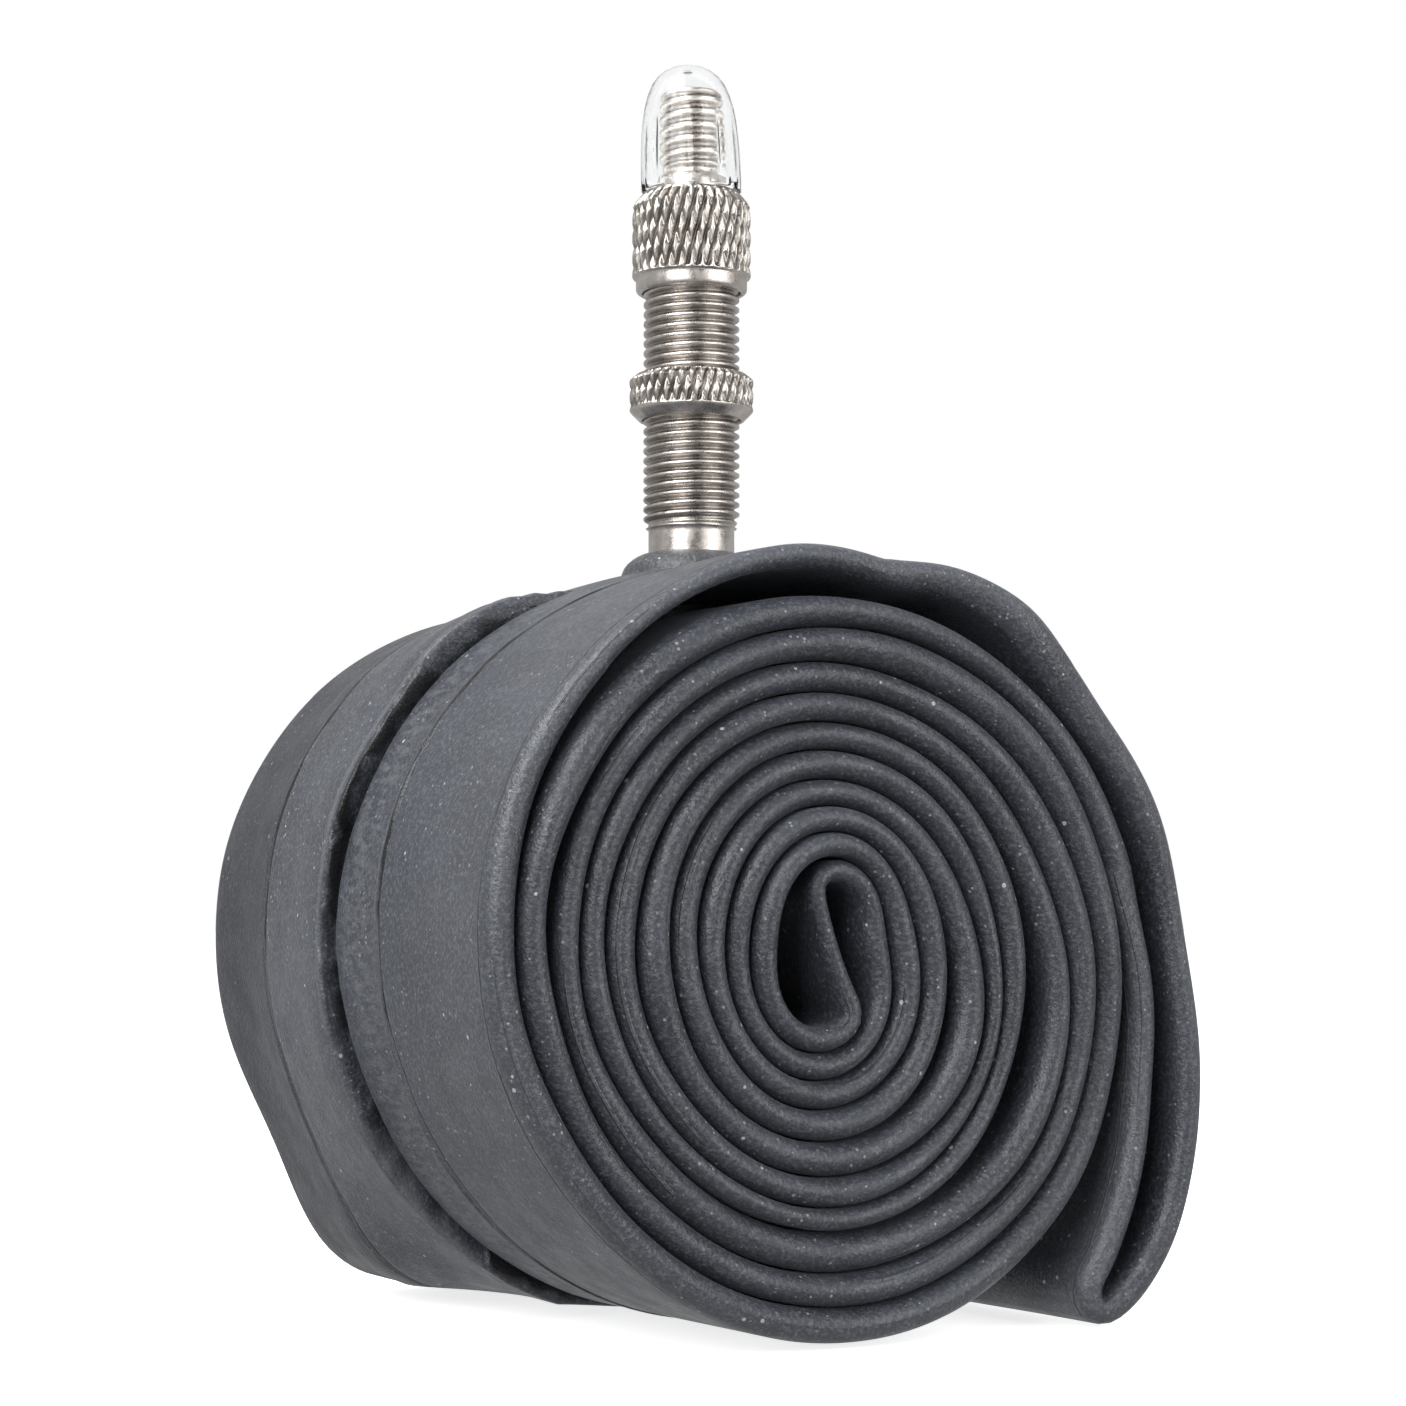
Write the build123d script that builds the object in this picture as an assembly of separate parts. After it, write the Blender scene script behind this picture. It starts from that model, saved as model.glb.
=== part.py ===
from build123d import *
from math import atan2, cos, pi, sin
import os

# A bicycle inner tube for small wheels, pressed flat and rolled up for storage, with its valve up.
# The tube is one closed ring of butyl, so the roll has two arms. They start from an S in the
# middle, wind outward side by side and meet again in a hairpin flap at the lower right.
# The valve is a Woods valve: a threaded stem on a rubber pad, a knurled rim nut,
# an insert with a check ball, the union nut that holds the insert, and a clear dust cap.
# Frame: +Z up along the valve, Y along the roll, origin on the floor under the valve's axis.
# All sizes are in millimetres.

# Rolled tube
FLAT_WIDTH = 51.5               # width of the flattened tube, along Y
STRAND_GAP = 0.2                # air between neighbouring strands
ROLL_X, ROLL_Z = -2.71, 28.35   # middle of the roll
TURNS_OUT = 5.28                # turn at which the outer arm reaches the flap's top
TURNS_JOIN = 4.96               # turn at which the inner arm leaves for the flap
OUTER_TURNS_IN = 0.26           # turn at which each arm runs into the S
INNER_TURNS_IN = 0.22
ARCS_PER_TURN = 8
FLAP_HALF = 1.0                 # half the strand's thickness in the flap
TONGUE_HALF = 0.7               # half the strand's thickness in the S

# Radius of the face between two strands, as start and growth per turn of each term
ROUND = (3.85, 3.93)            # mean radius
ROUND_RISE = 0.15               # outer turns lie looser
LEAN_UP = (-0.37, -0.165)       # roll hangs low
LEAN_RIGHT = (-1.14, 0.39)
TALL = (1.32, -0.30)            # middle is taller than wide
SKEW = (0.25, -0.22)

# Tongue of the S, from its top to its foot, from the middle of the roll
TONGUE = [(-0.6, 5.5), (-1.3, 4.8), (-1.4, 3.9), (-0.4, 0.5), (0.9, -2.9), (1.6, -4.3), (1.75, -5.2)]

# Flap's centre line from the middle of the roll: down its inner strand, round and up its outer one
FLAP_DOWN = [(28.5, -3.5), (28.0, -11.5), (26.5, -18.0), (24.4, -23.2), (22.9, -25.6)]
FLAP_TURN = [(23.8, -27.35), (26.7, -25.6)]
FLAP_UP = [(29.7, -21.4), (31.7, -15.5), (32.3, -9.5), (32.0, -3.0), (31.0, 4.0), (29.3, 9.6)]
FLAP_BUCKLES = [(26.6, 14.0), (22.8, 18.0), (19.4, 21.1), (15.6, 24.4), (10.6, 26.7)]

# Valve heights, from the floor
PAD_TOP = 60.2
SHOULDER_TOP = 61.95
STEM_TOP = 86.0
RIM_NUT_LOW, RIM_NUT_TOP = 70.65, 74.35
UNION_LOW, UNION_TOP = 81.0, 89.25
INSERT_LOW, INSERT_TOP = 71.0, 96.9
CAP_LOW, CAP_TOP = 89.4, 99.2

# Rubber pad
PAD_RADIUS = 5.65
PAD_SKIRT = 8.0
PAD_SHOULDER = 58.3
PAD_ROUND = 0.5

# Stem: 7.75 mm thread, 32 to the inch
STEM_RADIUS = 3.875
STEM_ROOT = 3.45
STEM_PITCH = 25.4 / 32
CREST_FLAT = 0.16
FOOT_RADIUS = 4.7
FOOT_LOW, FOOT_TOP = 57.6, 58.5
AIRWAY = 1.5
SOCKET = 2.4
SOCKET_LOW = 70.0
SEAT_DEPTH = 0.6

# Nuts
NUT_CLEARANCE = 0.09
GROOVE_DEPTH = 0.3
RIM_NUT_RADIUS = 5.0
RIM_NUT_CHAMFER_TOP = 0.5
RIM_NUT_CHAMFER_LOW = 0.8
UNION_RADIUS = 4.8
UNION_COLLAR = 4.5
UNION_COLLAR_TOP = 82.3
UNION_COLLAR_ROUND = 0.6
UNION_CHAMFER = 1.1
UNION_CHAMFER_WIDTH = 0.55
UNION_MOUTH = 3.0

# Insert: 5.2 mm pump thread, 24 to the inch
PUMP_RADIUS = 2.6
PUMP_ROOT = 2.2
PUMP_PITCH = 25.4 / 24
PUMP_LOW = 91.0
HUB_RADIUS = 2.85
COLLAR_RADIUS = 3.45
COLLAR_LOW, COLLAR_TOP = 86.05, 87.0
SHANK_RADIUS = 1.7
SHANK_LOW = 76.0
INSERT_BORE = 0.75
SEAL_RADIUS = 2.15
SEAL_LOW, SEAL_TOP = 80.0, 85.9
CAGE_RADIUS = 2.0
CAGE_BORE = 1.2
CAGE_TOP = 76.9
CAGE_PORT = 0.45
RING_HEIGHT = 0.6
RING_BORE = 0.5
BALL_RADIUS = 0.95
BALL_REST = 0.05                # air under the ball

# Dust cap, pushed on
CAP_RADIUS = 4.05
CAP_WALL = 0.5
CAP_DOME_LOW = CAP_TOP - CAP_RADIUS
CAP_RIBS = 8
RIB_WIDTH = 0.45
RIB_RADIUS = 3.45
RIB_LOW, RIB_TOP = 90.9, 94.7
GRIP_RADIUS = 2.93              # short ribs at the foot, which grip the insert's hub
GRIP_LOW, GRIP_TOP = 89.6, 90.5
FOOT_NOTCH = 0.5


def face_radius(turns, angle):
    """Radius of the face between strands, at an angle clockwise from the top."""
    def term(pair):
        return pair[0] + pair[1] * turns
    return (term(ROUND) + ROUND_RISE * turns ** 2 + term(LEAN_UP) * cos(angle)
            + term(LEAN_RIGHT) * sin(angle) + term(TALL) * cos(2 * angle) + term(SKEW) * sin(2 * angle))


def arm_station(turns, lead, side):
    """Both faces of an arm, side 1 being its outer face; the arms are half a turn apart."""
    angle = 2 * pi * (turns - lead)
    faces = []
    for step in (side, -side):
        radius = face_radius(turns + step * 0.25, angle) - step * STRAND_GAP / 2
        faces.append((radius * sin(angle), radius * cos(angle)))
    return faces


def arm(first, last, lead, side):
    """Stations along an arm, one at the end and one in the middle of each arc."""
    count = 2 * round(abs(last - first) * ARCS_PER_TURN)
    return [arm_station(first + (last - first) * i / count, lead, side) for i in range(count + 1)]


def middle_of(station):
    """Centre of a strand between its two faces."""
    return [(station[0][k] + station[1][k]) / 2 for k in (0, 1)]


def faces_along(spots, before, after, half):
    """Stations with the faces set off square to a run of centres between two others."""
    run = [before, *spots, after]
    stations = []
    for last, spot, then in zip(run, run[1:], run[2:]):
        heading = atan2(then[1] - last[1], then[0] - last[0])
        step = (half * sin(heading), half * cos(heading))
        stations.append([(spot[0] + side * step[0], spot[1] - side * step[1]) for side in (1, -1)])
    return stations


def curve_through(points, before, after):
    """Centres on a smooth curve through points: each point, and the middle of each span."""
    knots = [before, *points, after]
    spots = []
    for i in range(len(knots) - 1):
        start, end = knots[i], knots[i + 1]
        last = knots[max(i - 1, 0)]
        then = knots[min(i + 2, len(knots) - 1)]
        if i > 0:
            spots.append(start)
        spots.append([(9 * (start[k] + end[k]) - last[k] - then[k]) / 16 for k in (0, 1)])
    return spots


def strand_paths():
    """Stations along the two stretches of the closed tube: the spiral roll, and the flap."""
    outer_arm = arm(TURNS_OUT, OUTER_TURNS_IN, 0.25, 1)
    inner_arm = arm(INNER_TURNS_IN, TURNS_JOIN, 0.75, -1)
    tongue_ends = middle_of(outer_arm[-1]), middle_of(inner_arm[0])
    tongue = curve_through(TONGUE, *tongue_ends)
    flap_ends = middle_of(inner_arm[-1]), middle_of(outer_arm[0])
    flap = curve_through(FLAP_DOWN + FLAP_TURN + FLAP_UP + FLAP_BUCKLES, *flap_ends)
    return [outer_arm + faces_along(tongue, *tongue_ends, TONGUE_HALF) + inner_arm,
            [inner_arm[-1], *faces_along(flap, *flap_ends, FLAP_HALF), outer_arm[0]]]


def strand(stations):
    """Solid stretch of flattened tube along Y, each face as arcs through every other station."""
    sides = [[Vector(ROLL_X + station[side][0], 0, ROLL_Z + station[side][1]) for station in stations]
             for side in (0, 1)]
    edges = [ThreePointArc(*side[i:i + 3]) for side in sides for i in range(0, len(side) - 2, 2)]
    ends = [Line(sides[0][i], sides[1][i]) for i in (0, -1)]
    return extrude(make_face(edges + ends), amount=FLAT_WIDTH / 2, dir=(0, 1, 0), both=True)


def turned(outline):
    """Solid of revolution about the valve's axis from (radius, height) points."""
    wire = Polyline(*[(radius, 0, height) for radius, height in outline], close=True)
    return revolve(make_face(wire), axis=Axis.Z)


def thread_ridges(low, high, root, crest, pitch):
    """Outline points of a row of thread ridges, from low to high."""
    count = int((high - low) / pitch)
    points = []
    for i in range(count):
        base = low + i * pitch
        middle = base + pitch / 2
        points += [(root, base), (crest, middle - CREST_FLAT / 2), (crest, middle + CREST_FLAT / 2)]
    return points + [(root, low + count * pitch)]


def valve_pad(tube):
    """Rubber pad that bonds the stem to the tube, cut to the tube's outside."""
    skirt_low = ROLL_Z + face_radius(5.5, 0) - 3.0
    body = turned([(0, skirt_low), (PAD_SKIRT, skirt_low), (PAD_SKIRT, PAD_SHOULDER - 1.4),
                   (PAD_RADIUS, PAD_SHOULDER), (PAD_RADIUS, PAD_TOP - PAD_ROUND),
                   (PAD_RADIUS - PAD_ROUND, PAD_TOP), (0, PAD_TOP)])
    foot_room = turned([(0, FOOT_LOW), (FOOT_RADIUS, FOOT_LOW), (FOOT_RADIUS, FOOT_TOP),
                        (STEM_ROOT, FOOT_TOP), (STEM_ROOT, PAD_TOP), (0, PAD_TOP)])
    above_tube = body - tube - foot_room
    return max(above_tube.solids(), key=lambda solid: solid.volume)


def valve_stem():
    """Threaded stem with its foot, airway and the socket that takes the insert."""
    outline = [(AIRWAY, FOOT_LOW), (FOOT_RADIUS, FOOT_LOW), (FOOT_RADIUS, FOOT_TOP),
               (STEM_ROOT, FOOT_TOP)]
    outline += thread_ridges(SHOULDER_TOP, STEM_TOP, STEM_ROOT, STEM_RADIUS, STEM_PITCH)
    outline += [(STEM_ROOT - 0.15, STEM_TOP), (SOCKET + SEAT_DEPTH, STEM_TOP),
                (SOCKET, STEM_TOP - SEAT_DEPTH), (SOCKET, SOCKET_LOW),
                (AIRWAY, SOCKET_LOW - (SOCKET - AIRWAY))]
    return turned(outline)


def nut_bore(low, high):
    """Outline of a nut's threaded bore, from its top down to its foot."""
    bore = STEM_RADIUS + NUT_CLEARANCE
    ridges = thread_ridges(low + 0.3, high - 0.3, bore, bore + GROOVE_DEPTH, STEM_PITCH)
    return [(bore, low), *ridges, (bore, high)][::-1]


def rim_nut():
    """Knurled ring nut that clamps the stem to the rim."""
    outline = [(RIM_NUT_RADIUS - RIM_NUT_CHAMFER_LOW, RIM_NUT_LOW),
               (RIM_NUT_RADIUS, RIM_NUT_LOW + RIM_NUT_CHAMFER_LOW),
               (RIM_NUT_RADIUS, RIM_NUT_TOP - RIM_NUT_CHAMFER_TOP),
               (RIM_NUT_RADIUS - RIM_NUT_CHAMFER_TOP, RIM_NUT_TOP)]
    return turned(outline + nut_bore(RIM_NUT_LOW, RIM_NUT_TOP))


def union_nut():
    """Knurled nut that holds the insert's collar down on the stem."""
    ledge = COLLAR_TOP + NUT_CLEARANCE
    outline = [(UNION_COLLAR - UNION_COLLAR_ROUND, UNION_LOW),
               (UNION_COLLAR, UNION_LOW + UNION_COLLAR_ROUND), (UNION_COLLAR, UNION_COLLAR_TOP),
               (UNION_RADIUS, UNION_COLLAR_TOP), (UNION_RADIUS, UNION_TOP - UNION_CHAMFER),
               (UNION_RADIUS - UNION_CHAMFER_WIDTH, UNION_TOP), (UNION_MOUTH, UNION_TOP),
               (UNION_MOUTH, ledge)]
    return turned(outline + nut_bore(UNION_LOW, ledge))


def insert_body():
    """Insert with its shank, collar, hub and pump thread, bored through."""
    outline = [(INSERT_BORE, SHANK_LOW), (CAGE_BORE, SHANK_LOW), (CAGE_BORE, CAGE_TOP),
               (SHANK_RADIUS, CAGE_TOP + 0.1), (SHANK_RADIUS, COLLAR_LOW),
               (COLLAR_RADIUS, COLLAR_LOW), (COLLAR_RADIUS, COLLAR_TOP), (HUB_RADIUS, COLLAR_TOP),
               (HUB_RADIUS, PUMP_LOW - 0.5)]
    outline += thread_ridges(PUMP_LOW, INSERT_TOP - 0.3, PUMP_ROOT, PUMP_RADIUS, PUMP_PITCH)
    outline += [(PUMP_ROOT - 0.3, INSERT_TOP), (INSERT_BORE + 0.2, INSERT_TOP),
                (INSERT_BORE, INSERT_TOP - 0.2)]
    return turned(outline)


def insert_cage():
    """Sleeve crimped to the shank's foot, which keeps the check ball and lets air past it."""
    floor_top = INSERT_LOW + 0.8
    return turned([(CAGE_PORT, INSERT_LOW), (CAGE_RADIUS - 0.3, INSERT_LOW),
                   (CAGE_RADIUS, INSERT_LOW + 0.3), (CAGE_RADIUS, CAGE_TOP),
                   (CAGE_BORE, CAGE_TOP), (CAGE_BORE, floor_top), (CAGE_PORT, floor_top)])


def seat_ring():
    """Rubber ring under the shank that the ball closes against."""
    low = SHANK_LOW - RING_HEIGHT
    return turned([(RING_BORE, low), (CAGE_BORE, low), (CAGE_BORE, SHANK_LOW), (RING_BORE, SHANK_LOW)])


def insert_seal():
    """Tapered rubber sleeve on the shank that seals it in the stem's socket."""
    return turned([(SHANK_RADIUS, SEAL_LOW), (SEAL_RADIUS - 0.25, SEAL_LOW),
                   (SEAL_RADIUS, SEAL_LOW + 1.5), (SEAL_RADIUS, SEAL_TOP - 0.5),
                   (SEAL_RADIUS - 0.15, SEAL_TOP), (SHANK_RADIUS, SEAL_TOP)])


def check_ball():
    """Ball that closes the airway when the tube holds pressure."""
    height = INSERT_LOW + 0.8 + BALL_RADIUS + BALL_REST
    return Pos(0, 0, height) * Sphere(BALL_RADIUS)


def cap_shell():
    """Straight barrel under a rounded dome, all of one wall."""
    inner = CAP_RADIUS - CAP_WALL
    dome = [CenterArc((0, CAP_DOME_LOW), radius, 0, 90) for radius in (CAP_RADIUS, inner)]
    barrel = Polyline((CAP_RADIUS, CAP_DOME_LOW), (CAP_RADIUS, CAP_LOW),
                      (inner, CAP_LOW), (inner, CAP_DOME_LOW))
    crown = Line((0, CAP_TOP - CAP_WALL), (0, CAP_TOP))
    return revolve(Plane.XZ * make_face([*dome, barrel, crown]), axis=Axis.Z)


def cap_rib(reach, low, top):
    """Rib on the inside of the cap's barrel, standing in to a radius."""
    depth = CAP_RADIUS - CAP_WALL / 2 - reach
    return Pos(reach + depth / 2, 0, (low + top) / 2) * Box(depth, RIB_WIDTH, top - low)


def dust_cap():
    """Clear cap with long inner ribs, short grips at the foot and notches round its rim."""
    shell = cap_shell()
    ribs = [cap_rib(RIB_RADIUS, RIB_LOW, RIB_TOP), cap_rib(GRIP_RADIUS, GRIP_LOW, GRIP_TOP)]
    notch = Pos(CAP_RADIUS, 0, CAP_LOW) * Box(3 * CAP_WALL, RIB_WIDTH, 2 * FOOT_NOTCH)
    step = 360 / CAP_RIBS
    for i in range(CAP_RIBS):
        for rib in ribs:
            shell += Rot(0, 0, (i + 0.25) * step) * rib
    for i in range(CAP_RIBS):
        shell -= Rot(0, 0, (i + 0.75) * step) * notch
    return shell


def rolled_tube():
    """The flattened ring of tube, rolled up. Its roll and its flap meet face to face."""
    return Compound([solid for path in strand_paths() for solid in strand(path).solids()])


os.makedirs("parts", exist_ok=True)
tube = rolled_tube()
nodes = {
    "tube": tube,
    "valve_pad": valve_pad(tube),
    "valve_stem": valve_stem(),
    "rim_nut": rim_nut(),
    "insert_body": insert_body(),
    "insert_cage": insert_cage(),
    "insert_seal": insert_seal(),
    "ball_seat_ring": seat_ring(),
    "check_ball": check_ball(),
    "union_nut": union_nut(),
    "dust_cap": dust_cap(),
}
for name, shape in nodes.items():
    export_step(shape, f"parts/{name}.step")
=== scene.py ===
from math import atan, cos, pi, radians, sin, tan

import bpy
import numpy as np
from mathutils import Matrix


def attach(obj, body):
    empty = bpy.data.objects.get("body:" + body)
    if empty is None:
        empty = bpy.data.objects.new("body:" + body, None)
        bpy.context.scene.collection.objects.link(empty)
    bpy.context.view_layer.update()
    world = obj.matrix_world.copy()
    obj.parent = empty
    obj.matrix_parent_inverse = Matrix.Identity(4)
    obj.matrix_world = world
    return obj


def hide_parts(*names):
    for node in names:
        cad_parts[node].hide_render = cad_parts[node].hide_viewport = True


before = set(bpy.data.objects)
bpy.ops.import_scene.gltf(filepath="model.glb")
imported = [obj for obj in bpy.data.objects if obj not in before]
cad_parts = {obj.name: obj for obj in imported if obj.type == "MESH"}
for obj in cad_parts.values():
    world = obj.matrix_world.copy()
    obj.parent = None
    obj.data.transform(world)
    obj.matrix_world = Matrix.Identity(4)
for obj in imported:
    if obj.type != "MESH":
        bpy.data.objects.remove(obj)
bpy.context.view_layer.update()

# The looks of a rolled bicycle inner tube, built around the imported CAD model.
# Shapes are worked out in millimetres in the CAD frame, and scaled to metres as meshes are made.

MM = 0.001


# ---------------------------------------------------------------- camera
CAMERA_AT = (-122.8, -212.0, 29.84)
CAMERA_YAW = radians(30.3)
CAMERA_PITCH = radians(4.21)

camera = bpy.data.objects.new("camera", bpy.data.cameras.new("camera"))
bpy.context.scene.collection.objects.link(camera)
camera.location = [value * MM for value in CAMERA_AT]
camera.rotation_euler = (pi / 2 + CAMERA_PITCH, 0, -CAMERA_YAW)
camera.data.lens = 78.5
camera.data.clip_start = 0.01
bpy.context.scene.camera = camera
bpy.context.scene.view_settings.view_transform = "Standard"


# ---------------------------------------------------------------- materials
class Nodes:
    """A material's node tree, built from small calls."""

    def __init__(self, name):
        self.material = bpy.data.materials.new(name)
        self.material.use_nodes = True
        self.tree = self.material.node_tree
        self.shader = self.tree.nodes["Principled BSDF"]
        self.place = self.tree.nodes.new("ShaderNodeTexCoord").outputs["Object"]

    def link(self, value, socket):
        if isinstance(value, bpy.types.NodeSocket):
            self.tree.links.new(value, socket)
        else:
            socket.default_value = value

    def math(self, operation, first, second=0.0):
        node = self.tree.nodes.new("ShaderNodeMath")
        node.operation = operation
        for value, socket in zip((first, second), node.inputs):
            self.link(value, socket)
        return node.outputs[0]

    def times(self, first, second):
        return self.math("MULTIPLY", first, second)

    def largest(self, first, *others):
        for other in others:
            first = self.math("MAXIMUM", first, other)
        return first

    def ramp(self, value, low, high, out_low=0.0, out_high=1.0):
        """Smooth step: out_low where value is at low, out_high where it is at high."""
        node = self.tree.nodes.new("ShaderNodeMapRange")
        node.interpolation_type = "SMOOTHSTEP"
        for number, socket in zip((value, low, high, out_low, out_high), node.inputs):
            self.link(number, socket)
        return node.outputs[0]

    def noise(self, size, detail=2.0, stretch=(1, 1, 1), rough=0.5):
        """Noise from about 0.3 to 0.7, with features of a size in millimetres."""
        place = self.place
        if stretch != (1, 1, 1):
            scale = self.tree.nodes.new("ShaderNodeVectorMath")
            scale.operation = "MULTIPLY"
            self.link(place, scale.inputs[0])
            scale.inputs[1].default_value = stretch
            place = scale.outputs[0]
        node = self.tree.nodes.new("ShaderNodeTexNoise")
        self.link(place, node.inputs["Vector"])
        node.inputs["Scale"].default_value = 1 / (size * MM)
        node.inputs["Detail"].default_value = detail
        node.inputs["Roughness"].default_value = rough
        return node.outputs["Fac"]

    def specks(self, spacing, radius, share):
        """Round specks, one in a share of the cells of a random grid."""
        node = self.tree.nodes.new("ShaderNodeTexVoronoi")
        self.link(self.place, node.inputs["Vector"])
        node.inputs["Scale"].default_value = 1 / (spacing * MM)
        split = self.tree.nodes.new("ShaderNodeSeparateColor")
        self.link(node.outputs["Color"], split.inputs[0])
        size = self.ramp(split.outputs[0], 1 - share, 1.0, 0.0, radius / spacing)
        edge = self.math("SUBTRACT", size, node.outputs["Distance"])
        return self.ramp(edge, 0.0, 0.25 * radius / spacing)

    def attribute(self, name):
        node = self.tree.nodes.new("ShaderNodeAttribute")
        node.attribute_name = name
        return node.outputs["Fac"]

    def mix(self, share, first, second):
        node = self.tree.nodes.new("ShaderNodeMix")
        node.data_type = "RGBA"
        self.link(share, node.inputs["Factor"])
        for value, socket in ((first, node.inputs["A"]), (second, node.inputs["B"])):
            self.link(value if isinstance(value, bpy.types.NodeSocket) else (*value, 1.0), socket)
        return node.outputs["Result"]

    def bump(self, height, depth, before=None):
        """Relief, depth in millimetres."""
        node = self.tree.nodes.new("ShaderNodeBump")
        node.inputs["Strength"].default_value = 1.0
        node.inputs["Distance"].default_value = depth * MM
        self.link(height, node.inputs["Height"])
        if before is not None:
            self.link(before, node.inputs["Normal"])
        return node.outputs["Normal"]

    def finish(self, **sockets):
        """The material, with sockets of its shader set by name."""
        for name, value in sockets.items():
            self.link(value, self.shader.inputs[name.replace("_", " ")])
        return self.material


def line(nodes, value, middle, width):
    """1 on a line where value is near middle, falling to 0 at width."""
    away = nodes.math("ABSOLUTE", nodes.math("SUBTRACT", value, middle))
    return nodes.ramp(away, 0.2 * width, width, 1.0, 0.0)


# Grooves that the mould left along the tube, painted dark as shade: place across the strand, and width
MOULD_GROOVES = [(-7.8, 0.32), (13.45, 0.34), (-24.1, 0.2)]
# Mould ridge beside the seam, painted lighter as a highlight: place across the strand, and width
MOULD_RIDGE = (-7.45, 0.3)
# The pleat's crease, painted dark as shade, and its lip's edge, painted light as a highlight: place and
# width
PLEAT_CREASE, PLEAT_LIP = (0.05, 0.34), (0.9, 0.5)
# Band in front of the crease, painted lighter, partly as light and partly as scuffs: place and width
LIT_SCUFFED_BAND = (-3.9, 4.2)
# Flash and notch round the folds, in degrees from the outer face; the notch is painted dark as shade
FOLD_FLASH, FOLD_NOTCH = (66.0, 5.0), (54.0, 5.0)
GRIT_GREY, DUST_GREY, TALC_GREY = (0.13, 0.138, 0.155), (0.35, 0.36, 0.37), (0.5, 0.51, 0.52)
# Colours of painted shade, of painted shade in grooves and the crease, and of flash and painted highlights
SHADE_BLACK, GROOVE_SHADE_BLACK, FLASH_AND_HIGHLIGHT_GREY = (0.006, 0.0065, 0.009), (0.005, 0.005, 0.006), (0.15, 0.155, 0.165)


def moulding(nodes, colour, relief):
    """Colour and relief with mould lines, painted shade in the mould grooves, the pleat's crease and the
    fold notches, painted highlights on the mould ridge, the lip's edge and towards the front edge, a
    lighter band in front of the crease that is partly painted light and partly scuffs, and painted shade on
    the rear of the bare strand and on the rolled-in strands.
    """
    wobble = nodes.times(nodes.math("SUBTRACT", nodes.noise(5.0, 3.0), 0.5), 0.9)
    straight = nodes.attribute("across")
    across = nodes.math("ADD", straight, wobble)
    bare, pleat = nodes.attribute("bare"), nodes.attribute("pleat")

    # Painted shade along the mould grooves and the pleat's crease; painted highlights on the mould ridge
    # and the lip's edge
    grooves = [nodes.times(line(nodes, across, *groove), bare) for groove in MOULD_GROOVES]
    crease = nodes.times(line(nodes, straight, *PLEAT_CREASE), pleat)
    ridge = nodes.times(line(nodes, across, *MOULD_RIDGE), bare)
    lip = nodes.times(line(nodes, straight, *PLEAT_LIP), pleat)
    # Band in front of the crease painted lighter: partly painted light, partly scuffed patches
    scuffed = nodes.ramp(nodes.noise(0.7, 3.0, stretch=(1, 0.4, 1)), 0.42, 0.6)
    lit_scuffed_band = nodes.times(line(nodes, across, *LIT_SCUFFED_BAND), nodes.times(pleat, scuffed))
    # Painted light: lighter towards the front edge of the bare strand
    front_edge_light = nodes.times(nodes.ramp(across, -20.0, -9.0, 0.13, 0.0), bare)

    around = nodes.math("ADD", nodes.attribute("fold"), nodes.times(wobble, 12.0))
    worn = nodes.ramp(nodes.noise(14.0, 1.0), 0.57, 0.66)
    ragged = nodes.ramp(nodes.noise(0.5, 2.0), 0.38, 0.55)
    flash = nodes.times(nodes.times(line(nodes, around, *FOLD_FLASH), worn), ragged)
    notch = nodes.times(line(nodes, around, *FOLD_NOTCH), worn)

    behind = nodes.times(nodes.ramp(straight, 12.5, 15.0), bare)
    rolled_in = nodes.math("SUBTRACT", 1.0, bare)
    shade = nodes.largest(nodes.times(behind, 0.6), nodes.times(rolled_in, 0.18))
    # Painted shade in the mould grooves, the pleat's crease and the fold notches
    groove_shade = nodes.largest(crease, nodes.times(notch, 0.6), *grooves)
    # Flash, and painted highlights on the mould ridge, the lip's edge, the lighter band and the front edge
    bright = nodes.largest(nodes.times(flash, 0.3), nodes.times(ridge, 0.25), nodes.times(lip, 0.3),
                           nodes.times(lit_scuffed_band, 0.28), front_edge_light)
    colour = nodes.mix(shade, colour, SHADE_BLACK)
    colour = nodes.mix(nodes.times(groove_shade, 0.95), colour, GROOVE_SHADE_BLACK)
    colour = nodes.mix(bright, colour, FLASH_AND_HIGHLIGHT_GREY)
    return colour, nodes.bump(nodes.math("SUBTRACT", bright, groove_shade), 0.16, relief)


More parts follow.
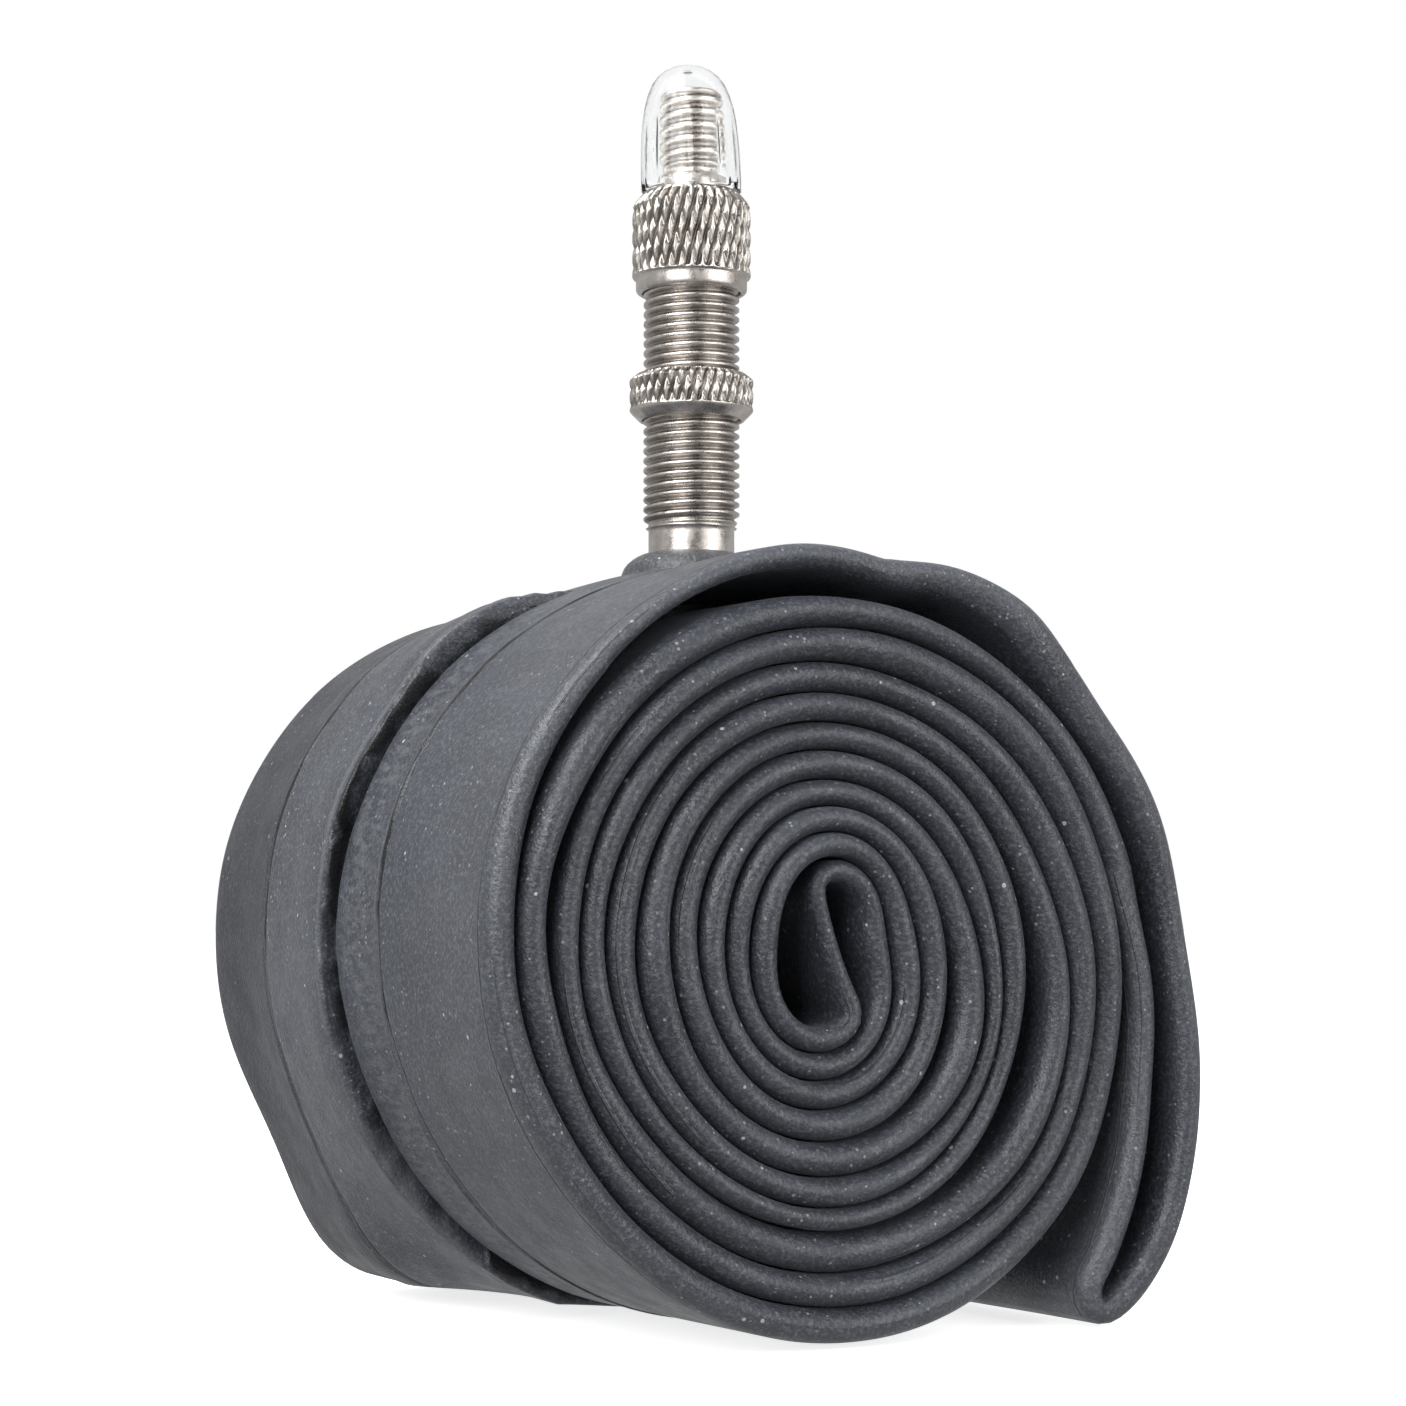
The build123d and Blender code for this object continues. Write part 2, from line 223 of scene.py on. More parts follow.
def rubber(name, dark, light, grain=0.24, sheen=0.12, moulded=False):
    """Matte black rubber with fine grain, cloudy wear and specks of talc."""
    nodes = Nodes(name)
    fine = nodes.noise(grain, 3.0)
    cloud = nodes.noise(9.0, 4.0, rough=0.6)
    streak = nodes.noise(2.5, 3.0, stretch=(1, 0.25, 1))
    tone = nodes.math("ADD", nodes.times(cloud, 0.7), nodes.times(streak, 0.3))
    colour = nodes.mix(nodes.ramp(tone, 0.3, 0.7), dark, light)
    grit = nodes.ramp(nodes.noise(0.33, 3.0, rough=0.7), 0.46, 0.64)
    colour = nodes.mix(nodes.times(grit, 0.42), colour, GRIT_GREY)
    dust = nodes.specks(0.55, 0.14, 0.6)
    talc = nodes.specks(1.5, 0.2, 0.4)
    dusty = nodes.ramp(nodes.noise(6.0, 2.0), 0.35, 0.65, 0.2, 0.6)
    colour = nodes.mix(nodes.times(dust, dusty), colour, DUST_GREY)
    colour = nodes.mix(nodes.times(talc, 0.7), colour, TALC_GREY)
    relief = nodes.bump(fine, 0.085)
    relief = nodes.bump(nodes.noise(1.2, 2.0), 0.06, relief)
    if moulded:
        colour, relief = moulding(nodes, colour, relief)
    gloss = nodes.ramp(nodes.noise(3.0, 4.0), 0.3, 0.7, 0.34, 0.5)
    nodes.shader.inputs["Specular IOR Level"].default_value = 0.45
    nodes.shader.inputs["Sheen Weight"].default_value = sheen
    nodes.shader.inputs["Sheen Roughness"].default_value = 0.4
    nodes.shader.inputs["Sheen Tint"].default_value = (0.55, 0.58, 0.64, 1)
    return nodes.finish(Base_Color=colour, Roughness=gloss, Normal=relief)


# Brown painted shade for thread roots and knurl grooves, and the brown of real stains
RECESS_SHADE_BROWN, STAIN_BROWN = (0.07, 0.06, 0.05), (0.28, 0.24, 0.2)


def metal(name, bright, dull, rough=(0.22, 0.4)):
    """Bright metal, cloudy, finely scratched, with painted shade in its recesses."""
    nodes = Nodes(name)
    cloud = nodes.noise(1.6, 4.0, rough=0.65)
    colour = nodes.mix(nodes.ramp(cloud, 0.35, 0.65), dull, bright)
    # Painted shade in thread roots and knurl grooves
    recess = nodes.attribute("recess")
    colour = nodes.mix(nodes.times(recess, 0.7), colour, RECESS_SHADE_BROWN)
    stain = nodes.times(nodes.ramp(nodes.noise(0.35, 3.0), 0.58, 0.72), 0.35)
    colour = nodes.mix(stain, colour, STAIN_BROWN)
    relief = nodes.bump(nodes.noise(0.09, 2.0, stretch=(1, 1, 4)), 0.012)
    relief = nodes.bump(nodes.noise(0.8, 2.0), 0.02, relief)
    gloss = nodes.ramp(nodes.noise(0.7, 3.0), 0.3, 0.7, *rough)
    nodes.shader.inputs["Metallic"].default_value = 1.0
    return nodes.finish(Base_Color=colour, Roughness=gloss, Normal=relief)


def clear_plastic(name):
    """Clear moulded plastic with faint flow rings and a little haze."""
    nodes = Nodes(name)
    haze = nodes.noise(1.4, 3.0)
    colour = nodes.mix(nodes.ramp(haze, 0.3, 0.7), (0.93, 0.94, 0.94), (0.985, 0.99, 0.99))
    relief = nodes.bump(nodes.noise(0.6, 2.0, stretch=(0.3, 0.3, 1)), 0.015)
    gloss = nodes.ramp(haze, 0.3, 0.7, 0.03, 0.1)
    nodes.shader.inputs["Transmission Weight"].default_value = 1.0
    nodes.shader.inputs["IOR"].default_value = 1.32
    return nodes.finish(Base_Color=colour, Roughness=gloss, Normal=relief)


tube_rubber = rubber("tube_rubber", (0.021, 0.0238, 0.0315), (0.037, 0.0415, 0.053), moulded=True)
pad_rubber = rubber("pad_rubber", (0.028, 0.029, 0.032), (0.05, 0.052, 0.056), grain=0.3)
seal_rubber = rubber("seal_rubber", (0.012, 0.012, 0.012), (0.03, 0.03, 0.03), sheen=0.1)
nickel = metal("nickel", (0.61, 0.57, 0.535), (0.46, 0.427, 0.395))
steel = metal("steel", (0.72, 0.72, 0.73), (0.6, 0.6, 0.61), rough=(0.08, 0.2))
plastic = clear_plastic("clear_plastic")


# ---------------------------------------------------------------- meshes
def grid_piece(name, points, closed, body, material, attributes):
    """Piece from a (rows, columns, 3) grid of points in millimetres, closed along each direction or not."""
    rows, columns = points.shape[:2]
    index = np.arange(rows * columns).reshape(rows, columns)
    for axis, shut in enumerate(closed):
        if shut:
            index = np.concatenate([index, index.take([0], axis)], axis)
    quads = np.stack([index[:-1, :-1], index[1:, :-1], index[1:, 1:], index[:-1, 1:]], -1)
    mesh = bpy.data.meshes.new(name)
    mesh.from_pydata((points.reshape(-1, 3) * MM).tolist(), [], quads.reshape(-1, 4).tolist())
    for title, values in attributes.items():
        layer = mesh.attributes.new(title, "FLOAT", "POINT")
        layer.data.foreach_set("value", np.ascontiguousarray(values, dtype=np.float32).ravel())
    mesh.shade_smooth()
    mesh.materials.append(material)
    piece = bpy.data.objects.new(name, mesh)
    bpy.context.scene.collection.objects.link(piece)
    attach(piece, body)
    return piece


def waves(along, terms):
    """Sum of slow waves, each (size, wavelength, phase)."""
    return sum(size * np.sin(2 * pi * along / length + phase) for size, length, phase in terms)


def hill(value, middle, width):
    return np.exp(-((value - middle) / width) ** 2)


def rise(value, low, high):
    """Smooth step from 0 at low to 1 at high."""
    share = np.clip((value - low) / (high - low), 0, 1)
    return share * share * (3 - 2 * share)


# ---------------------------------------------------------------- rolled tube: its path
FLAT_WIDTH = 51.5
STRAND_GAP = 0.12
ROLL_X, ROLL_Z = -2.71, 28.35
TURNS_OUT, TURNS_JOIN = 5.28, 4.96
OUTER_TURNS_IN, INNER_TURNS_IN = 0.26, 0.22
FLAP_HALF, TONGUE_HALF = 1.0, 0.7
STATION_STEP = 0.65

# Radius of the face between two strands: start, and growth per turn
ROUND, ROUND_RISE = (3.85, 3.93), 0.15
LEAN_UP, LEAN_RIGHT = (-0.37, -0.165), (-1.14, 0.39)
TALL, SKEW = (1.32, -0.30), (0.25, -0.22)

# Where strands press each other out (+) or in (-): turn, angle, size, spread in turns and in degrees
PRESSED = [(2.30, 110, 0.85, 0.20, 55), (2.80, 105, -0.6, 0.17, 38), (3.33, 120, -1.2, 0.2, 38),
           (3.55, 190, -0.5, 0.2, 40), (2.70, 230, 0.4, 0.3, 55), (3.2, 260, 0.4, 0.25, 55),
           (4.30, 280, -0.5, 0.25, 50), (3.82, 120, 0.4, 0.15, 35), (4.6, 30, 0.6, 0.25, 25)]
# Hollows that show between strands, in the same terms
HOLLOWS = [(3.33, 112, 2.1, 0.16, 34), (1.83, 120, 0.7, 0.15, 35), (4.93, 328, 1.1, 0.15, 26),
           (4.27, 282, 0.8, 0.12, 15), (2.8, 60, 0.3, 0.15, 30)]

TONGUE = [(-0.6, 5.5), (-1.3, 4.8), (-1.4, 3.9), (-0.4, 0.5), (0.9, -2.9), (1.6, -4.3), (1.75, -5.2)]
FLAP = [(28.5, -3.5), (28.0, -11.5), (26.5, -18.0), (24.4, -23.2), (22.9, -25.6), (23.8, -27.35),
        (26.7, -25.6), (29.7, -21.4), (31.7, -15.5), (32.3, -9.5), (32.0, -3.0), (31.0, 4.0),
        (29.3, 9.6), (26.6, 14.0), (22.8, 18.0), (19.4, 21.1), (15.6, 24.4), (10.6, 26.7)]


def swell(turns, angle, places):
    """Sum of local bumps, each round one turn and angle of the spiral."""
    total = 0.0
    for turn, degrees, size, turn_spread, angle_spread in places:
        near = np.exp((np.cos(angle - radians(degrees)) - 1) / radians(angle_spread) ** 2)
        total = total + size * near * hill(turns, turn, turn_spread)
    return total


def face_radius(turns, angle):
    """Radius of the face between strands, at an angle clockwise from the top."""
    def term(pair):
        return pair[0] + pair[1] * turns
    return (term(ROUND) + ROUND_RISE * turns ** 2 + term(LEAN_UP) * np.cos(angle)
            + term(LEAN_RIGHT) * np.sin(angle) + term(TALL) * np.cos(2 * angle)
            + term(SKEW) * np.sin(2 * angle) + swell(turns, angle, PRESSED))


def arm(first, last, lead, side):
    """Both faces of an arm of the spiral, side 1 being its outer face."""
    turns = np.linspace(first, last, 900)
    angle = 2 * pi * (turns - lead)
    faces = []
    for step in (side, -side):
        face_turns = turns + step * 0.25
        radius = face_radius(face_turns, angle) - step * STRAND_GAP / 2
        if step < 0:
            radius = radius + swell(face_turns, angle, HOLLOWS)
        faces.append(np.stack([radius * np.sin(angle), radius * np.cos(angle)], -1))
    return faces[0], faces[1], turns


def smooth_run(points, before, after, half):
    """Both faces of a strand on a smooth line through points, between the faces before and after."""
    ends = [(face[0] + face[1]) / 2 for face in (before, after)]
    beyond = [2 * ends[0] - points[0], 2 * ends[1] - points[-1]]
    knots = np.array([beyond[0], ends[0], *points, ends[1], beyond[1]])
    share = np.linspace(0, 1, 24, endpoint=False)[:, None]
    spans = []
    for p0, p1, p2, p3 in zip(knots, knots[1:], knots[2:], knots[3:]):
        spans.append(0.5 * (2 * p1 + (p2 - p0) * share + (2 * p0 - 5 * p1 + 4 * p2 - p3) * share ** 2
                            + (3 * p1 - p0 - 3 * p2 + p3) * share ** 3))
    middle = np.concatenate(spans)[1:]
    heading = np.gradient(middle, axis=0)
    heading /= np.linalg.norm(heading, axis=1)[:, None]
    length = np.concatenate([[0], np.cumsum(np.linalg.norm(np.diff(middle, axis=0), axis=1))])
    thick = np.full(len(middle), half)
    for face, away in ((before, length), (after, length[-1] - length)):
        end_half = np.linalg.norm(face[0] - face[1]) / 2
        thick += (end_half - half) * (1 - rise(away, 0, 5.0))
    out = np.stack([heading[:, 1], -heading[:, 0]], -1) * thick[:, None]
    return middle + out, middle - out


def tube_path():
    """Middle, half thickness towards the first face, and turn, at even steps round the closed tube."""
    outer0, outer1, outer_turns = arm(TURNS_OUT, OUTER_TURNS_IN, 0.25, 1)
    inner0, inner1, inner_turns = arm(INNER_TURNS_IN, TURNS_JOIN, 0.75, -1)
    tongue0, tongue1 = smooth_run(np.array(TONGUE), (outer0[-1], outer1[-1]), (inner0[0], inner1[0]),
                                  TONGUE_HALF)
    flap0, flap1 = smooth_run(np.array(FLAP), (inner0[-1], inner1[-1]), (outer0[0], outer1[0]), FLAP_HALF)
    face0 = np.concatenate([outer0, tongue0, inner0, flap0])
    face1 = np.concatenate([outer1, tongue1, inner1, flap1])
    flap_turns = np.linspace(TURNS_JOIN + 1, TURNS_OUT + 1, len(flap0))
    turns = np.concatenate([outer_turns, np.zeros(len(tongue0)), -inner_turns, flap_turns])
    middle, out = (face0 + face1) / 2, (face0 - face1) / 2
    step = np.linalg.norm(np.diff(middle, axis=0, append=middle[:1]), axis=1)
    along = np.concatenate([[0], np.cumsum(step)])
    even = np.arange(0, along[-1] - STATION_STEP / 2, STATION_STEP)
    fields = [np.interp(even, along, np.append(column, column[0]))
              for column in (*middle.T, *out.T)]
    turns = turns[np.searchsorted(along, even, side="right") - 1]
    kernel = np.array([0.06, 0.24, 0.4, 0.24, 0.06])
    for i, column in enumerate(fields):
        padded = np.concatenate([column[-2:], column, column[:2]])
        fields[i] = np.convolve(padded, kernel, mode="valid")
    return even, np.stack(fields[:2], -1), np.stack(fields[2:], -1), turns


# ---------------------------------------------------------------- rolled tube: its section
FOLD_POINTS = 15
FOLD_DEPTH = 1.3                 # how far the rounding of a fold reaches back, in half thicknesses

# Outer wall from front to rear: place along the roll, and where the pleat moves it: along, and out
PLEAT = [(-6.0, 0, 0.05), (-4.5, 0, 0.14), (-3.2, 0, 0.2), (-2.2, 0, 0.22), (-1.4, 0, 0.2), (-0.9, 0, 0.14),
         (-0.55, 0.1, 0.02), (-0.25, 0.2, -0.14), (-0.02, 0.24, -0.32), (0.1, 0.12, -0.22),
         (0.17, -0.08, 0.12), (0.25, -0.28, 0.5), (0.35, -0.46, 0.88), (0.45, -0.56, 1.12),
         (0.57, -0.6, 1.27), (0.75, -0.62, 1.35), (1.0, -0.55, 1.38), (1.5, -0.4, 1.37), (2.2, -0.2, 1.34),
         (3.0, -0.1, 1.29), (4.0, 0, 1.2), (5.5, 0, 1.05), (7.5, 0, 0.9), (9.5, 0, 0.76), (11.5, 0, 0.63),
         (12.6, 0, 0.56), (13.1, 0, 0.5), (13.45, 0, 0.34), (13.8, 0, 0.48), (14.4, 0, 0.42),
         (16.5, 0, 0.25)]
FRONT_PLAIN = [-23.0, -20.5, -18.0, -15.5, -13.0, -11.0, -9.4, -8.4]
SEAM = [(-8.0, 0, 0), (-7.8, 0, -0.14), (-7.55, 0, 0.1), (-7.25, 0, 0.1), (-6.8, 0, 0)]
REAR_PLAIN = [18.5, 21.0, 23.0]
INNER_PLAIN = [23, 20, 15, 10, 5, 0, -5, -10, -15, -20, -23]

# Slow waves along the tube: size, wavelength and phase
DRIFT_WAVES = [(0.35, 58, 1.0), (0.15, 21, 0.3)]
FRONT_WAVES = [(0.28, 97, 0.5), (0.2, 41, 2.1), (0.12, 17.3, 1)]
REAR_WAVES = [(0.28, 83, 2.5), (0.2, 37, 0.2), (0.12, 15.1, 4)]
PLEAT_WAVES = [(0.12, 31, 0.4), (0.08, 13, 2)]
LIP_WAVES = [(0.13, 7.9, 1.0), (0.09, 3.7, 2.2), (0.06, 2.1, 0.4)]

# Turns over which the outer arm comes out to the open, and over which its pleat rises and fades
BARE_FROM, PLEAT_FROM, PLEAT_TO = (4.52, 4.6), (4.70, 4.78), (5.17, 5.215)
FLOOR_DROP = 28.25               # from the roll's middle down to its lowest face
PLEAT_ROOM = 1.45                # room above the floor that the whole pleat needs
# Turns over which the flap's outer wall starts to stand out
FLAP_FROM = (TURNS_JOIN + 1.02, TURNS_JOIN + 1.08)


def section_rows():
    """Points round the flattened section: (kind, angle or place, pleat along, pleat out)."""
    rows = [("wall", y, 0, 0) for y in FRONT_PLAIN]
    rows += [("seam", *row) for row in SEAM] + [("wall", *row) for row in PLEAT]
    rows += [("wall", y, 0, 0) for y in REAR_PLAIN]
    fold = [(i + 0.5) / FOLD_POINTS * pi for i in range(FOLD_POINTS)]
    rows += [("rear", angle, 0, 0) for angle in fold]
    rows += [("inner", y, 0, 0) for y in INNER_PLAIN]
    rows += [("front", pi - angle, 0, 0) for angle in fold]
    return rows


def rolled_tube():
    """The flattened tube, rolled up from both ends of its loop, with the pleat of its outer turn."""
    along, middle, out, turns = tube_path()
    half = np.linalg.norm(out, axis=1)
    normal = out / half[:, None]
    count = len(along)
    flat = np.zeros(count)
    angle = np.degrees(np.arctan2(middle[:, 0], middle[:, 1])) % 360
    room = np.maximum(FLOOR_DROP / np.maximum(np.cos(np.radians(angle - 180)), 0.3) - FLOOR_DROP, 0)
    on_outer_arm = (turns > 0) & (turns < TURNS_OUT + 0.01)
    on_flap = turns > TURNS_OUT + 0.5
    bare = np.where(on_outer_arm, rise(turns, *BARE_FROM), on_flap * 1.0)

    pleat = np.where(on_outer_arm, rise(turns, *PLEAT_FROM) * (1 - rise(turns, *PLEAT_TO)), 0.0)
    pleat = pleat * np.minimum(room / PLEAT_ROOM, 1) * (1 + waves(along, PLEAT_WAVES))
    lip_wander = pleat * waves(along, LIP_WAVES)
    lip_rise = 0.65 * hill(angle, 327, 14) + 0.3 * hill(angle, 252, 12)
    drift = waves(along, DRIFT_WAVES)
    front = -FLAT_WIDTH / 2 + waves(along, FRONT_WAVES)
    rear = FLAT_WIDTH / 2 + waves(along, REAR_WAVES)

    # Where the bare strand bulges out: over the top, at its front edge, and at its rear edge near the floor
    beside_valve = ROLL_X + middle[:, 0]
    on_top = (middle[:, 1] > 20) * bare
    top = 1.3 * hill(beside_valve, 0, 8.0) * on_top
    front_lift = 1.35 * hill(beside_valve, -3.5, 11) * on_top + 1.0 * hill(angle, 36, 15) * on_flap
    sag = np.minimum(3.4 * hill(angle, 212, 17), 0.9 * room) * bare * on_outer_arm
    # The flap's outer wall stands out all along it, and its inner wall bulges inward round one angle
    to_end = np.abs(along - along[-1])
    outer_swell = 0.3 * on_flap * rise(to_end, 0, 12) * rise(turns, *FLAP_FROM)
    inner_swell = 0.9 * on_flap * hill(angle, 42, 22)

    rows = section_rows()
    points = np.zeros((count, len(rows), 3))
    across, fold = np.zeros((count, len(rows))), np.zeros((count, len(rows)))
    for k, (kind, place, shift, lift) in enumerate(rows):
        raised = flat
        if kind in ("front", "rear"):
            edge, way = (front, -1) if kind == "front" else (rear, 1)
            face = cos(place)
            y = edge + way * FOLD_DEPTH * half * (sin(place) - 1)
            fold[:, k] = np.degrees(place)
        else:
            face = -1.0 if kind == "inner" else 1.0
            y = place + drift * hill(place, 0, 14)
            fold[:, k] = 180 if kind == "inner" else 0
        if kind == "wall":
            y = y + pleat * shift + lip_wander * hill(place, 0.5, 0.9)
            raised = pleat * lift * (1 + lip_rise * rise(place, 0.1, 0.6))
        elif kind == "seam":
            raised = bare * lift
        if kind in ("wall", "seam"):
            raised = raised + top * hill(place, 0, 11)
        raised = raised + front_lift * (0.3 + 0.7 * rise(-y, 4, 22)) + sag * rise(y, 0.4, 19)
        raised = raised + outer_swell * max(face, 0) - inner_swell * max(-face, 0)
        across[:, k] = y - pleat * shift
        spot = middle + out * face + normal * raised[:, None]
        points[:, k] = np.stack([ROLL_X + spot[:, 0], y, ROLL_Z + spot[:, 1]], -1)
    outside = fold < 90
    attributes = {"across": across, "fold": fold, "bare": bare[:, None] * outside,
                  "pleat": pleat[:, None] * outside}
    piece = grid_piece("rolled_tube", warped(points), (True, True), "tube_and_stem",
                       tube_rubber, attributes)
    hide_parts("tube")


def warped(points):
    """The same gentle unevenness for everything at one place, so that strands stay side by side."""
    x, y, z = points[..., 0], points[..., 1], points[..., 2]
    shape = points.copy()
    shape[..., 0] += 0.18 * np.sin(x / 7.1 + y / 9.3 + 1) * np.cos(z / 8.7) + 0.10 * np.sin(y / 4.1 + z / 6)
    shape[..., 2] += 0.18 * np.sin(x / 8.3 + 2) * np.cos(y / 7.9 + z / 9.1) * rise(z, 1, 8)
    return shape


rolled_tube()


# ---------------------------------------------------------------- turned pieces
def turned(name, outline, move, around, body, slot, material, *nodes):
    """Closed ring turned about the valve's axis from (radius, height, weight) points.

    move changes radius and height by angle, and says how deep in a recess each point is, which the metal
    paints as shade.
    """
    rows = np.array(outline, float)
    angle = np.arange(around)[:, None] * 2 * pi / around
    radius = np.broadcast_to(rows[:, 0], (around, len(rows)))
    height = np.broadcast_to(rows[:, 1], (around, len(rows)))
    radius, height, recess = move(angle, radius, height, rows[:, 2])
    points = np.stack([radius * np.cos(angle), radius * np.sin(angle), height + 0 * angle], -1)
    piece = grid_piece(name, points, (True, True), body, material, {"recess": recess + 0 * radius})
    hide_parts(*nodes)
    return piece


def ramp_line(first, last, count, weight=0.0):
    """Evenly spaced outline points from first up to but not including last."""
    (r0, h0), (r1, h1) = first, last
    return [(r0 + (r1 - r0) * i / count, h0 + (h1 - h0) * i / count, weight) for i in range(count)]


def smooth_line(points):
    """Outline points that neither thread nor knurl changes."""
    return [(radius, height, 0) for radius, height in points]


def threaded(pitch, depth, low, high, lead_in=0.8):
    """Right-handed thread between two heights, with its crest at the outline's radius."""
    def move(angle, radius, height, weight):
        phase = np.mod(height / pitch - angle / (2 * pi), 1)
        crest = rise(1 - np.abs(2 * phase - 1), 0.12, 0.82)
        ends = rise(height, low, low + lead_in) * (1 - rise(height, high - 0.35, high))
        cut = 1 - crest * ends
        # The third value is how deep in the thread's root each point is, for painted shade
        return radius - depth * cut * weight, height, 0.75 * weight * cut * ends
    return move


KNURL_RADIUS = 4.9


def knurled(count, tilt, depth, low, high):
    """Diagonal knurl between two heights: deep grooves one way, and light ones across them."""
    def move(angle, radius, height, weight):
        grooves = 0.0
        for way, share in ((1, 1.0), (-1, 0.6)):
            phase = count * (angle - way * height * tilt / KNURL_RADIUS) / (2 * pi)
            near = np.abs(phase - np.round(phase))
            grooves = np.maximum(grooves, share * (1 - rise(near, 0.0, 0.44)))
        uneven = 0.85 + 0.15 * np.sin(3 * angle + 2.3 * height)
        inside = rise(height, low - 0.02, low + 0.12) * (1 - rise(height, high - 0.25, high))
        # How deep in a knurl groove each point is, for painted shade
        recess = 1.35 * weight * grooves * inside
        return radius - depth * grooves * uneven * inside * weight, height, recess
    return move


INCH = 25.4
STEM_PITCH, PUMP_PITCH = INCH / 32, INCH / 24
THREAD_DEPTH = 0.42
STEM_RADIUS, SHOULDER_RADIUS = 3.875, 3.45
NUT_BORE = 3.98


def valve_stem():
    low, high, bottom = 61.9, 86.0, 57.6
    lip, bore, seat = 3.4, 2.4, 1.5
    outline = smooth_line([(seat, bottom), (4.5, bottom), (4.7, 57.8), (4.7, 58.3), (4.5, 58.5)])
    outline += ramp_line((SHOULDER_RADIUS, 58.6), (SHOULDER_RADIUS, low - 0.06), 8)
    outline += ramp_line((SHOULDER_RADIUS, low - 0.06), (STEM_RADIUS, low + 0.04), 2)
    outline += ramp_line((STEM_RADIUS, low + 0.04), (STEM_RADIUS, high - 0.4), 320, 1)
    outline += ramp_line((STEM_RADIUS, high - 0.4), (lip, high), 5, 1)
    outline += smooth_line([(lip, high), (3.1, high), (3.0, high - 0.02), (bore, high - 0.6), (bore, 70.0),
                            (seat, 69.1)])
    turned("threaded_stem", outline, threaded(STEM_PITCH, THREAD_DEPTH, low, high), 128,
           "tube_and_stem", "plated_brass", nickel, "valve_stem")


def rim_nut():
    low, top, edge = 70.65, 74.35, 5.0
    outline = smooth_line([(4.05, low), (4.2, low)])
    outline += ramp_line((4.25, low + 0.03), (edge - 0.06, low + 0.72), 6)
    outline += ramp_line((edge - 0.02, low + 0.8), (edge, low + 0.95), 2)
    outline += ramp_line((edge, low + 0.95), (edge, top - 0.45), 30, 1)
    outline += ramp_line((edge, top - 0.45), (edge - 0.5, top), 6, 1)
    outline += smooth_line([(edge - 0.55, top), (4.15, top), (NUT_BORE, top - 0.15),
                            (NUT_BORE, low + 0.15)])
    turned("rim_nut_knurled", outline, knurled(36, 0.33, 0.4, low + 0.9, top + 0.1), 444,
           "rim_nut", "plated_brass", nickel, "rim_nut")


def union_nut():
    low, top, edge = 81.0, 89.25, 4.8
    collar, collar_top, rounding = 4.5, 82.3, 0.4
    hole, ledge = 3.0, 87.1
    outline = smooth_line([(4.02, low), (4.12, low)])
    outline += smooth_line([(collar - rounding * (1 - sin(turn)), low + rounding * (1 - cos(turn)))
                            for turn in np.linspace(0.25, pi / 2, 6)])
    outline += ramp_line((collar, low + 0.5), (collar, collar_top - 0.12), 4)
    outline += smooth_line([(collar, collar_top - 0.1), (collar + 0.05, collar_top - 0.02),
                            (edge - 0.06, collar_top + 0.02)])
    outline += ramp_line((edge, collar_top + 0.1), (edge, top - 1.15), 62, 1)
    outline += ramp_line((edge, top - 1.15), (edge - 0.72, top - 0.25), 10, 1)
    outline += smooth_line([(edge - 0.8, top - 0.2), (edge - 0.9, top - 0.05), (edge - 1.05, top),
                            (3.2, top), (3.02, top - 0.12), (hole, top - 0.4), (hole, ledge),
                            (NUT_BORE, ledge - 0.02), (NUT_BORE, low + 0.2)])
    turned("union_nut_knurled", outline, knurled(33, 0.3, 0.45, collar_top + 0.1, top - 0.2), 528,
           "union_nut", "plated_brass", nickel, "union_nut")


def insert():
    low, high, bottom, flange = 90.9, 97.45, 76.0, 86.05
    bore, body, neck, crest = 0.75, 1.7, 2.85, 2.6
    outline = smooth_line([(bore, bottom), (1.2, bottom), (1.2, 76.9), (1.65, 77.0), (body, 77.1),
                           (body, flange), (3.35, flange), (3.45, flange + 0.1), (3.45, 86.9), (3.35, 87.0),
                           (neck, 87.02)])
    outline += ramp_line((neck, 87.1), (neck, 90.35), 6)
    outline += smooth_line([(2.75, 90.5), (2.25, 90.55), (2.2, 90.8)])
    outline += ramp_line((crest, low), (crest, high - 0.3), 110, 1)
    outline += smooth_line([(2.5, high - 0.25), (2.3, high), (1.1, high), (0.95, high - 0.1),
                            (bore, high - 0.4)])
    turned("insert_threaded", outline, threaded(PUMP_PITCH, THREAD_DEPTH, low, high, 0.5), 96,
           "insert", "plated_brass", nickel, "insert_body")


RIBS, RIB_HALF, RIB_DEPTH = 8, (0.18, 0.3), 0.14
NOTCH_HALF, NOTCH_DEPTH = (0.35, 0.5), 0.42
WALL_WEIGHT, FOOT_WEIGHT = 1, 2


def from_nearest(angle, start, radius):
    """Distance round the cap from the nearest of its even places, in millimetres."""
    return np.abs(np.mod(angle * RIBS / (2 * pi) + start, 1) - 0.5) * 2 * pi * radius / RIBS


